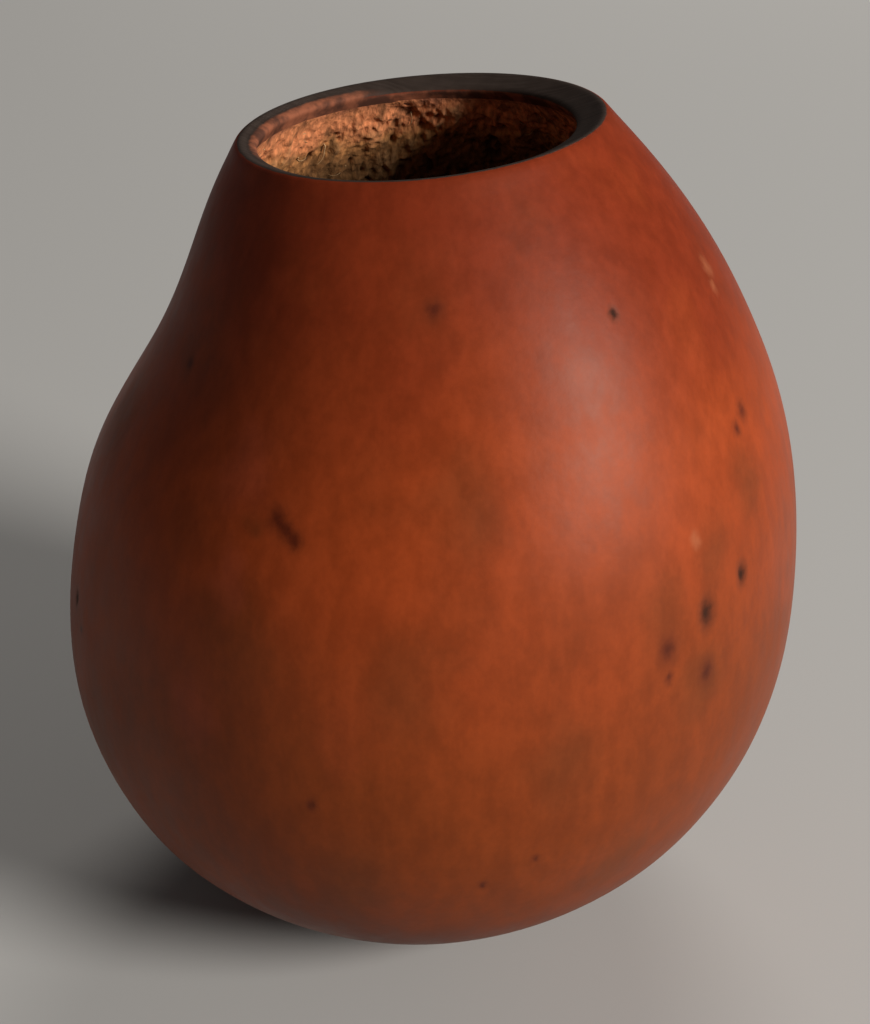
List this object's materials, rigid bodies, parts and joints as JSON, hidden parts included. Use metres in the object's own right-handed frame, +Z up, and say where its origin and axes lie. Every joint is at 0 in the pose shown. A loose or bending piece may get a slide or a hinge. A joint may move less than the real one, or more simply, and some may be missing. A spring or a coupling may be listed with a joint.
{
  "type": "dried bottle gourd",
  "caption": "Hollow dried bottle gourd, pear-shaped, with the neck sawn off on a slight slant into an open mouth; stands on a small flat spot and can hold dry things.",
  "frame": {"origin": "middle of the small flat spot under the gourd, which is where it stands", "axes": "+Z up through the mouth, +X towards the fuller shoulder and the high side of the sawn rim, -Y towards the viewer of the picture"},
  "size_m": [0.1106, 0.1114, 0.1249],
  "materials": {
    "gourd_skin": "satin dried rind, smooth outside; dark sawn rim; rough dried pulp inside"
  },
  "bodies": {
    "root": {"gourd_shell": "gourd_skin"}
  },
  "joints": []
}
